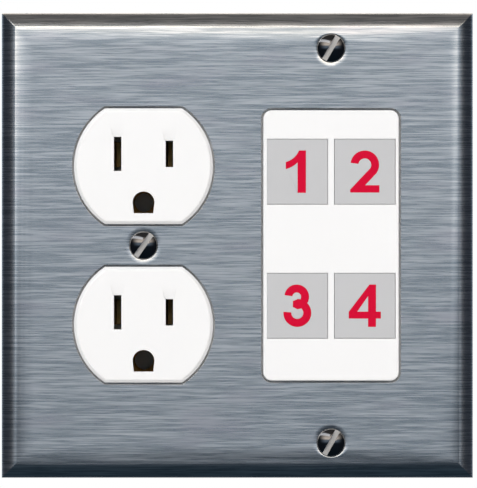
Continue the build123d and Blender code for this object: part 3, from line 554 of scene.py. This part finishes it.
def make_softened():
    """Pieces whose frame shape is right, with the small radii that a press or a mould leaves.

    Each has its radius in mm, the steps across it, and the angle from which an edge counts. Flat faces
    aren't joined where ports or numerals leave holes in them, because such faces close over the holes.
    """
    radii = {
        "wall_plate": (0.22, 3, 22), "port_frame": (0.06, 2, 30), "receptacle_base": (0.25, 3, 35),
        "mounting_strap": (0.12, 2, 35), "hot_bus": (0.1, 2, 35), "neutral_bus": (0.1, 2, 35),
        "ground_contact_upper": (0.08, 2, 35), "ground_contact_lower": (0.08, 2, 35),
        "assembly_screws": (0.12, 2, 35), "screw_retainers": (0.06, 2, 35), "ground_rivets": (0.08, 2, 35),
    }
    for line in ("hot_upper", "hot_lower", "neutral_upper", "neutral_lower", "ground"):
        radii[f"wire_clamp_{line}"] = (0.15, 3, 35)
    for number in range(1, 5):
        radii[f"port_blank_{number}"] = (0.05, 2, 35)
        radii[f"port_numeral_{number}"] = (0.03, 2, 35)
    for node, (width, segments, angle) in radii.items():
        piece = copy_of(node, f"{node}_finished", joined=not node.startswith("port_"))
        rounded(piece, width * MM, segments, angle)
        settle(piece, node)


def make_outlet_faces():
    """The receptacle's moulding: a wide soft border round each outlet face, small radii elsewhere."""
    piece = copy_of("receptacle_face", "receptacle_face_finished")
    mesh = piece.data
    low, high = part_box("receptacle_face")
    middle = (low.x + high.x) / 2
    weights = mesh.attributes.new("bevel_weight_edge", "FLOAT", "EDGE")
    for edge in mesh.edges:
        ends = [mesh.vertices[i].co for i in edge.vertices]
        on_front = all(abs(end.y - low.y) < 0.02 * MM for end in ends)
        if on_front and all(on_rim(end.x - middle, end.z) for end in ends):
            weights.data[edge.index].value = 1.0
    border = piece.modifiers.new("border", "BEVEL")
    border.width = 0.6 * MM
    border.segments = 4
    border.limit_method = "WEIGHT"
    apply_all(piece)
    rounded(piece, 0.1 * MM, 2, 30)
    settle(piece, "receptacle_face")


def on_rim(x, z):
    """Whether a point of the front lies on the outline of either outlet face."""
    near = 0.08 * MM
    height = abs(abs(z) - OUTLET_Z)
    on_circle = abs(hypot(x, height) - (OUTLET_R - OUTLET_CHAMFER)) < near
    on_flat = abs(height - (OUTLET_FLAT - OUTLET_CHAMFER)) < near
    return on_circle or on_flat


make_screws()
make_softened()
make_outlet_faces()


# ---- studio --------------------------------------------------------------------------------------------
def make_camera():
    """Straight on from the room, far off on a long lens."""
    distance = 2.0
    view_height = 120.138 * MM  # of what is seen at the wall
    right = 0.3 * MM
    up = 0.35 * MM
    data = bpy.data.cameras.new("camera")
    data.sensor_width = 36
    data.lens = data.sensor_width * distance / view_height
    data.clip_end = 20
    camera = bpy.data.objects.new("camera", data)
    camera.location = (right, -distance, up)
    camera.rotation_euler = (radians(90), 0, 0)
    bpy.context.scene.collection.objects.link(camera)
    bpy.context.scene.camera = camera


def make_softbox(name, place, size, power, glossy=False):
    """A cool soft lamp aimed at the outlet. Only a glossy one shows as a reflection."""
    data = bpy.data.lights.new(name, "AREA")
    data.color = (0.94, 0.97, 1.0)
    data.shape = "RECTANGLE"
    data.size, data.size_y = size
    data.energy = power
    lamp = bpy.data.objects.new(name, data)
    lamp.location = place
    lamp.rotation_euler = (-Vector(place)).to_track_quat("-Z", "Y").to_euler()
    lamp.visible_glossy = glossy
    bpy.context.scene.collection.objects.link(lamp)


def make_world():
    """White to the eye. Reflections find grey-blue ahead, a warm band above it and dark all round."""
    world = bpy.data.worlds.new("studio")
    world.use_nodes = True
    bpy.context.scene.world = world
    shader = Shader(world.node_tree)
    x, y, z = shader.axes(shader.node("ShaderNodeTexCoord", output="Generated"))
    below = z * -1.0
    ahead = shader.mix((0.33, 0.44, 0.57), (0.58, 0.72, 0.88), z.smooth(-0.04, 0.12))
    ahead = shader.mix(ahead, (3.4, 3.0, 2.55), z.smooth(0.18, 0.29))
    ahead = shader.mix(ahead, (0.16, 0.15, 0.145), z.smooth(0.30, 0.68))
    ahead = shader.mix(ahead, (0.03, 0.045, 0.065), below.smooth(-0.09, 0.11))
    ahead = shader.mix(ahead, (0.02, 0.035, 0.05), below.smooth(0.25, 0.85))
    ahead = shader.mix(ahead, (0.03, 0.037, 0.05), abs(x).smooth(0.38, 0.85))
    behind = shader.mix((0.30, 0.31, 0.33), (0.85, 0.85, 0.86), z.smooth(-0.5, 0.9))
    seen = shader.mix(behind, ahead, (y * -1.0).smooth(-0.97, -0.85))
    camera_ray = shader.node("ShaderNodeLightPath", output="Is Camera Ray")
    colour = shader.mix(seen, (1.0, 1.0, 1.0), camera_ray)
    background = shader.tree.nodes.new("ShaderNodeBackground")
    output = shader.tree.nodes.new("ShaderNodeOutputWorld")
    shader.tree.links.new(colour.socket, background.inputs["Color"])
    shader.tree.links.new(background.outputs[0], output.inputs["Surface"])


def make_floor():
    """Pale floor below the outlet, most of it on the room's side."""
    drop = 30 * MM
    bpy.ops.mesh.primitive_plane_add(size=6, location=(0, -2.1, cad_bounds[0][2] - drop))
    floor = bpy.context.active_object
    floor.visible_glossy = False
    floor.name = "floor"
    floor.data.materials.append(finish("floor_pale", (0.86, 0.86, 0.86), 0.7))


make_camera()
make_world()
make_floor()
make_softbox("front_high", (-0.3, -1.0, 1.5), (1.8, 0.8), 12.3)
make_softbox("front_left", (-1.6, -1.0, 0.2), (0.8, 1.4), 4.0)
make_softbox("front_right", (1.6, -1.0, 0.3), (0.8, 1.4), 4.0)
make_softbox("upper_left", (-0.95, -1.25, 1.15), (2.0, 0.40), 7, glossy=True)
make_softbox("rear_high", (0.8, 1.4, 1.0), (1.2, 1.2), 14)
make_softbox("rear_low", (-1.1, 1.2, 0.1), (1.0, 1.0), 7)
bpy.context.scene.view_settings.view_transform = "Standard"
